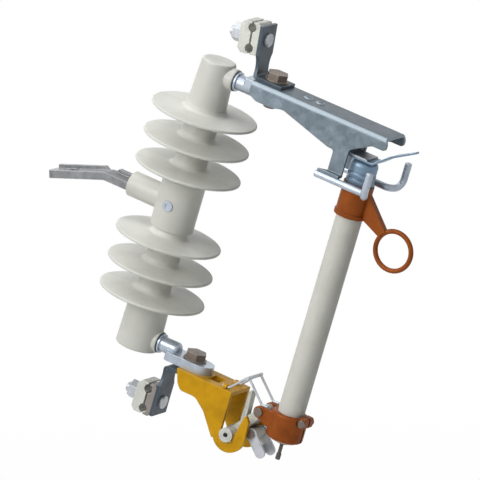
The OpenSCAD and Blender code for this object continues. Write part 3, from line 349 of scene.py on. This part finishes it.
# One finish for each material slot of the record
finishes = {
    "polymer": moulded(
        "grey_polymer", colour=tone(208, 208, 201), speck=tone(176, 176, 168), painted_light_tone=tone(230, 230, 223),
        rough=0.42),
    "tube_resin": painted_tube("tube_paint", colour=tone(210, 210, 202), speck=tone(178, 178, 168)),
    "strap_steel": galvanised(
        "strap_zinc", colour=tone(118, 119, 121), bright=tone(180, 182, 185), painted_top_tone=tone(126, 127, 128),
        metal=0.35, rough=0.5),
    "channel_steel": galvanised(
        "channel_zinc", colour=tone(98, 110, 119), bright=tone(172, 186, 196), painted_top_tone=tone(72, 84, 94),
        metal=0.4, rough=0.45),
    "tinned_forging": worked_metal(
        "tinned_forging", colour=tone(182, 192, 204), tarnish=tone(136, 146, 160), bright=tone(226, 232, 240),
        metal=0.5, rough=0.34, drawn=ALL_WAYS),
    "bolt_steel": worked_metal(
        "bolt_zinc", colour=tone(120, 108, 99), tarnish=tone(82, 71, 64), bright=tone(196, 186, 176),
        metal=0.45, rough=0.45, drawn=ALL_WAYS),
    "plated_copper": worked_metal(
        "plated_contact", colour=tone(124, 148, 168), tarnish=tone(84, 104, 126), bright=tone(206, 218, 230),
        metal=0.5, rough=0.36, drawn=UP_CAP),
    "spring_steel": worked_metal(
        "spring_steel", colour=tone(200, 204, 210), tarnish=tone(134, 139, 147), bright=tone(236, 238, 240),
        metal=0.35, rough=0.36, drawn=ALONG_SHEET),
    "terminal_steel": worked_metal(
        "terminal_strap", colour=tone(66, 78, 88), tarnish=tone(36, 42, 50), bright=tone(138, 150, 160),
        metal=0.4, rough=0.45, drawn=ALONG_SHEET),
    "clamp_alloy": cast_metal(
        "clamp_alloy", colour=tone(208, 210, 202), deep=tone(134, 132, 126), bright=tone(240, 240, 236),
        metal=0.25, rough=0.48, sand=600),
    "hinge_brass": cast_metal(
        "hinge_brass", colour=tone(204, 152, 6), deep=tone(142, 98, 2), bright=tone(226, 184, 60),
        metal=0.2, rough=0.46, sand=520),
    "cast_bronze": cast_metal(
        "cast_bronze", colour=tone(148, 75, 18), deep=tone(82, 34, 6), bright=tone(186, 108, 44),
        metal=0.2, rough=0.46, sand=520),
    "link_copper": worked_metal(
        "link_tail", colour=tone(88, 84, 80), tarnish=tone(52, 48, 44), bright=tone(150, 146, 140),
        metal=0.4, rough=0.48, drawn=ALONG_SHEET),
}
darker_clamp_alloy = cast_metal(
    "darker_clamp_alloy", colour=tone(148, 141, 136), deep=tone(78, 71, 67), bright=tone(208, 203, 199),
    metal=0.3, rough=0.46, sand=600)
# Nodes with a finish of their own: the bright pin, and the lower clamp's body, which is darker than its keeper
own_finish = {
    "collar_pin": finishes["tinned_forging"],
    "lower_clamp_body": darker_clamp_alloy,
}
for row in frame["record"]["subparts"]:
    mesh = nodes[row["node"]].data
    mesh.materials.clear()
    mesh.materials.append(own_finish.get(row["node"], finishes[row["material_slot"]]))


def on_insulator(out, side, level):
    """Model points from millimetres out from the insulator's axis, to the side, and up along the axis."""
    out, side, level = np.broadcast_arrays(*(np.asarray(part, float) * MM for part in (out, side, level)))
    x = COLLAR_X + out * math.cos(LEAN) + level * math.sin(LEAN)
    z = COLLAR_Z - out * math.sin(LEAN) + level * math.cos(LEAN)
    return np.stack([x, side, z], -1)


def piece(name, grid, body, slot, loop=False):
    """Closed mesh from a grid of points that runs round in its first direction and along in its second.
    Both ends are drawn in to their middles, or joined to each other where the piece is a loop."""
    if not loop:
        first, last = (
            np.repeat(ring.mean(0, keepdims=True), len(grid), 0) for ring in (grid[:, :1], grid[:, -1:]))
        grid = np.concatenate([first, grid, last], 1)
    corner = np.arange(grid.shape[0] * grid.shape[1]).reshape(grid.shape[:2])
    if loop:
        corner = np.concatenate([corner, corner[:, :1]], 1)
    beside = np.roll(corner, -1, 0)
    faces = np.stack([corner[:, :-1], beside[:, :-1], beside[:, 1:], corner[:, 1:]], -1).reshape(-1, 4)
    mesh = bpy.data.meshes.new(name)
    mesh.from_pydata(grid.reshape(-1, 3).tolist(), [], faces.tolist())
    shell = bmesh.new()
    shell.from_mesh(mesh)
    bmesh.ops.remove_doubles(shell, verts=shell.verts, dist=1e-7)
    bmesh.ops.recalc_face_normals(shell, faces=shell.faces)
    shell.to_mesh(mesh)
    shell.free()
    mesh.shade_smooth()
    mesh.materials.append(finishes[slot])
    made = bpy.data.objects.new(name, mesh)
    bpy.context.scene.collection.objects.link(made)
    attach(made, body)


def around(count):
    """Angles of one full turn, as a column."""
    return np.linspace(0, TURN, count, endpoint=False)[:, None]


def swept(line, across_one, across_two):
    """Grid of a section carried along a line: at each point of the line in millimetres, the section's two
    offsets are measured along the side direction and along the normal that the line and the side make."""
    ahead = np.gradient(line, axis=0)
    ahead /= np.linalg.norm(ahead, axis=1, keepdims=True)
    side = np.array([0.0, 1.0, 0.0])
    side = side - ahead * (ahead @ side)[:, None]
    side /= np.linalg.norm(side, axis=1, keepdims=True)
    up = np.cross(ahead, side)
    across_one, across_two = np.broadcast_arrays(across_one, across_two)
    grid = line[None] + across_one[..., None] * side[None] + across_two[..., None] * up[None]
    return on_insulator(grid[..., 0], grid[..., 1], grid[..., 2])


def turned(start, end, reach, angle):
    """Grid of a round bar from one place to another in millimetres, with its radius given as an array of
    angles by rings."""
    line = np.linspace(np.array(start, float), np.array(end, float), reach.shape[1])
    return swept(line, reach * np.cos(angle), reach * np.sin(angle))


# Small hardware: places in millimetres out from the insulator's axis, to the side and up along it
BOLT_TAIL = 4.3
PALM_BOLT_OUT, CHANNEL_NUT_LEVEL, HINGE_NUT_LEVEL = 66, 135, -168.5
PALM_THREAD = {"radius": 5.7, "pitch": 1.75, "slot": "bolt_steel"}
CLAMP_THREAD = {"radius": 4.75, "pitch": 1.5, "slot": "spring_steel"}
CLAMP_STACK = 33.5
STRAP_FOOT_OUT, STRAP_FOOT_LEVEL, STRAP_RISE, STRAP_BACK = 46, 155.5, 38.5, math.radians(7)
LOWER_CLAMP_OUT, LOWER_CLAMP_LEVEL = 41, -198.5
RIVET_OUTS, RIVET_FOOT, RIVET_TOP, RIVET_RADIUS = (105, 119), 155.3, 157.2, 5
CAP_OUT, CAP_RADIUS = 184, 14
CAP_GRIPS = {"cap_grip_low": 96.8, "cap_grip_high": 103.2}
GRIP_HEIGHT, GRIP_RIDGES, GRIP_SINK, GRIP_DEPTH = 4.4, 56, 0.2, 0.65
ROD_SIDE, ROD_LEVEL, ROD_RADIUS = 25, 95.4, 3.6
HEEL_OUT, HEEL_DOME, TIP_DOME = 147, 1.4, 1.6
HOOK_OUT, HOOK_BEND, HOOK_ARM, HOOK_RISE, HOOK_SPLAY = 199, 8, 12, 26, math.radians(68)
WELD_START, WELD_END, WELD_SIDE, WELD_LEVEL, WELD_RADIUS = 156.5, 171.5, 21.6, 98.4, 1.7
SADDLE_OUT, SADDLE_SIDE, SADDLE_LEVEL = 112.5, 12, -152.5
TAIL_TOP, TAIL_END, TAIL_RADIUS, TAIL_STRANDS = -184.8, -196.5, 1.5, 6
STUD_LEVEL, SEAL_OUT, SEAL_RING, SEAL_BAR = 142, 24.4, 9.9, 0.9


def bolt_thread(name, nut, away, radius, pitch, slot):
    """Thread on a bolt's tail past its nut: the radius plus a tooth that is a triangle wave of the distance
    along in pitches less the angle in turns, faded out over the last pitch."""
    along = np.linspace(0, BOLT_TAIL, int(BOLT_TAIL / pitch * 10) + 1)[None]
    angle = around(40)
    tooth = 1 - np.abs((along / pitch - angle / TURN) % 1 * 2 - 1)
    reach = radius + pitch * 0.3 * tooth * np.clip((BOLT_TAIL - along) / pitch, 0, 1)
    piece(name, turned(nut, np.add(nut, np.multiply(away, BOLT_TAIL)), reach, angle), "frame", slot)


def dome(name, start, end, radius, slot):
    """Rounded end or head: the radius falls with the distance along as a quarter of an ellipse, and ends
    just short of a point."""
    along = np.linspace(0, 0.995, 9)[None]
    angle = around(32)
    reach = radius * np.sqrt(1 - along ** 2) + 0 * angle
    piece(name, turned(start, end, reach, angle), "frame", slot)


def knurled_band(name, level):
    """Grip on the cap: the cap's radius plus a ridge that is the absolute sine of half the ridges' angle,
    eased out at the band's top and bottom."""
    rise = np.sin(np.linspace(0, math.pi, 9))[None] ** 0.5
    angle = around(GRIP_RIDGES * 8)
    reach = CAP_RADIUS - GRIP_SINK + GRIP_DEPTH * np.abs(np.sin(angle * GRIP_RIDGES / 2)) * rise
    grid = turned((CAP_OUT, 0, level), (CAP_OUT, 0, level + GRIP_HEIGHT), reach, angle)
    piece(name, grid, "fuse_holder", "plated_copper")


def weld_bead(name, side):
    """Weld run along a foot: a rod whose radius ripples as a rectified sine along it and fades at both ends
    as the root of a half sine."""
    along = np.linspace(0, 1, 81)[None]
    ripple = 0.75 + 0.25 * np.abs(np.sin(along * 9 * math.pi))
    angle = around(16)
    reach = WELD_RADIUS * ripple * np.sqrt(np.sin(along * 2.9 + 0.12)) + 0 * angle
    grid = turned((WELD_START, side, WELD_LEVEL), (WELD_END, side, WELD_LEVEL), reach, angle)
    piece(name, grid, "frame", "channel_steel")


def twisted_tail(name):
    """Stranded fuse-link tail: the radius plus the absolute cosine of half the strands' angle, which turns as
    it goes along, so that the strands wind round."""
    along = np.linspace(0, 1, 61)[None]
    angle = around(60)
    wind = angle + along * 0.6 * TURN
    reach = TAIL_RADIUS + 0.45 * np.abs(np.cos(TAIL_STRANDS / 2 * wind))
    grid = turned((CAP_OUT, 0, TAIL_TOP), (CAP_OUT, 0, TAIL_END), reach, angle)
    piece(name, grid, "fuse_holder", "link_copper")


def seal_ring(name, level):
    """Sealing ring round a stud: a circle of the bar's radius carried round the stud's axis."""
    turn = np.linspace(0, TURN, 72, endpoint=False)[None]
    angle = around(14)
    reach = SEAL_RING + SEAL_BAR * np.cos(angle)
    grid = on_insulator(SEAL_OUT + SEAL_BAR * np.sin(angle), reach * np.cos(turn), level + reach * np.sin(turn))
    piece(name, grid, "frame", "terminal_steel", loop=True)


def wire_saddle(name, side):
    """Saddle over a spring wire's foot: a flat oval section carried over an arch, whose height is a raised
    cosine of the distance across and which lies flat on the bracket at both ends."""
    half_length, half_arch, arch_height, lift = 5.5, 3, 3.0, 0.4
    half_width, half_wall = 2.2, 0.45
    across = np.linspace(-half_length, half_length, 41)
    arch = np.where(np.abs(across) < half_arch, 0.5 + 0.5 * np.cos(across / half_arch * math.pi), 0) ** 0.6
    height = lift + arch_height * arch
    slope = np.gradient(height, across)
    steep = np.sqrt(1 + slope ** 2)
    angle = around(20)
    wide = half_width * np.sign(np.cos(angle)) * np.abs(np.cos(angle)) ** 0.5
    thick = half_wall * np.sign(np.sin(angle)) * np.abs(np.sin(angle)) ** 0.5
    grid = on_insulator(
        SADDLE_OUT + wide + 0 * across,
        side + across - thick * slope / steep,
        SADDLE_LEVEL + height + thick / steep)
    piece(name, grid, "frame", "hinge_brass")


def bolt_tails():
    """Threads past the nuts of the two palm bolts and of the two clamp bolts."""
    down, inward = (0, 0, -1), (-1, 0, 0)
    bolt_thread("channel_bolt_thread", (PALM_BOLT_OUT, 0, CHANNEL_NUT_LEVEL), down, **PALM_THREAD)
    bolt_thread("hinge_bolt_thread", (PALM_BOLT_OUT, 0, HINGE_NUT_LEVEL), down, **PALM_THREAD)
    lean_out, lean_up = math.sin(STRAP_BACK), math.cos(STRAP_BACK)
    off_strap = np.array([-lean_up, 0, -lean_out])
    clamp = np.array([STRAP_FOOT_OUT - STRAP_RISE * lean_out, 0, STRAP_FOOT_LEVEL + STRAP_RISE * lean_up])
    bolt_thread("upper_clamp_thread", clamp + CLAMP_STACK * off_strap, off_strap, **CLAMP_THREAD)
    lower_nut = (LOWER_CLAMP_OUT - CLAMP_STACK, 0, LOWER_CLAMP_LEVEL)
    bolt_thread("lower_clamp_thread", lower_nut, inward, **CLAMP_THREAD)


def channel_rivets():
    """Round heads of the contact's rivets on the channel's top."""
    for number, out in enumerate(RIVET_OUTS, 1):
        foot, top = (out, 0, RIVET_FOOT), (out, 0, RIVET_TOP)
        dome("channel_rivet_%d" % number, foot, top, RIVET_RADIUS, "channel_steel")


def hand_pieces(hand, side):
    """Weld, rounded rod ends and wire saddle on one hand, with side -1 or 1."""
    weld_bead("%s_hook_weld" % hand, side * WELD_SIDE)
    reach = HOOK_BEND * math.sin(HOOK_SPLAY) + HOOK_ARM * math.cos(HOOK_SPLAY)
    spread = HOOK_BEND * (1 - math.cos(HOOK_SPLAY)) + HOOK_ARM * math.sin(HOOK_SPLAY)
    tip = np.array([HOOK_OUT + reach, side * (ROD_SIDE + spread), ROD_LEVEL + HOOK_RISE])
    dome("%s_hook_tip" % hand, tip, tip + (0, 0, TIP_DOME), ROD_RADIUS, "tinned_forging")
    heel = np.array([HEEL_OUT, side * ROD_SIDE, ROD_LEVEL])
    dome("%s_rod_heel" % hand, heel, heel - (HEEL_DOME, 0, 0), ROD_RADIUS, "tinned_forging")
    wire_saddle("%s_wire_saddle" % hand, side * SADDLE_SIDE)


def small_hardware():
    """Threads, rivet heads, grips, welds, rod ends, saddles, the link's strands and the studs' seals."""
    bolt_tails()
    channel_rivets()
    for name, level in CAP_GRIPS.items():
        knurled_band(name, level)
    hand_pieces("left", -1)
    hand_pieces("right", 1)
    twisted_tail("link_strands")
    seal_ring("upper_stud_seal", STUD_LEVEL)
    seal_ring("lower_stud_seal", -STUD_LEVEL)


def studio():
    """White floor for the camera and for reflections, which keeps the object's shadow near it."""
    f = Finish("studio_floor")
    reach = f.node("ShaderNodeVectorMath", {"operation": "LENGTH"}, {0: f.place}, "Value")
    paper = f.node("ShaderNodeBsdfDiffuse", {}, {"Color": FLOOR_PAPER})
    glow = f.node("ShaderNodeEmission", {}, {"Color": WHITE, "Strength": 1.0})
    share = f.seen_rays() * (FLOOR_GLOW + reach.between(GLOW_START, GLOW_END) * (1 - FLOOR_GLOW))
    sheet = f.node("ShaderNodeMixShader", {}, {0: share, 1: paper, 2: glow})
    f.node("ShaderNodeOutputMaterial", {}, {"Surface": sheet})
    half = FLOOR_SIZE / 2
    level = cad_box[0][2] - FLOOR_DROP
    mesh = bpy.data.meshes.new("studio_floor")
    corners = [(-half, -half, level), (half, -half, level), (half, half, level), (-half, half, level)]
    mesh.from_pydata(corners, [], [(0, 1, 2, 3)])
    mesh.materials.append(f.owner)
    floor = bpy.data.objects.new("studio_floor", mesh)
    bpy.context.scene.collection.objects.link(floor)


def room():
    """World that is white to the camera and to reflections, and a plain grey light otherwise."""
    world = bpy.data.worlds.new("studio_room")
    bpy.context.scene.world = world
    w = ShaderTree(world)
    strength = ROOM_LIGHT + w.seen_rays() * (1 - ROOM_LIGHT)
    sky = w.node("ShaderNodeBackground", {}, {"Color": WHITE, "Strength": strength})
    w.node("ShaderNodeOutputWorld", {}, {"Surface": sky})


def lamps():
    """Square soft lamps that face the object's middle."""
    for name, lamp in LAMPS.items():
        light = bpy.data.lights.new(name, "AREA")
        light.size = lamp["size"]
        light.energy = lamp["power"]
        holder = bpy.data.objects.new(name, light)
        holder.location = lamp["place"]
        aim = CAMERA_TARGET - holder.location
        holder.rotation_euler = aim.to_track_quat("-Z", "Y").to_euler()
        bpy.context.scene.collection.objects.link(holder)


def camera():
    """Camera on a bearing and height round the target, rolled about its own line of sight."""
    bearing, height = math.radians(CAMERA_BEARING), math.radians(CAMERA_HEIGHT)
    back = Vector((
        math.sin(bearing) * math.cos(height),
        -math.cos(bearing) * math.cos(height),
        math.sin(height),
    ))
    data = bpy.data.cameras.new("photo_camera")
    data.sensor_width = CAMERA_SENSOR
    data.lens = CAMERA_SENSOR * CAMERA_DISTANCE / PHOTO_WIDTH
    data.clip_end = FAR_CLIP
    made = bpy.data.objects.new("photo_camera", data)
    turn = (-back).to_track_quat("-Z", "Y") @ Quaternion((0, 0, 1), math.radians(CAMERA_ROLL))
    made.matrix_world = Matrix.Translation(CAMERA_TARGET + back * CAMERA_DISTANCE) @ turn.to_matrix().to_4x4()
    bpy.context.scene.collection.objects.link(made)
    bpy.context.scene.camera = made


small_hardware()
studio()
room()
lamps()
camera()
bpy.context.scene.view_settings.view_transform = "Standard"
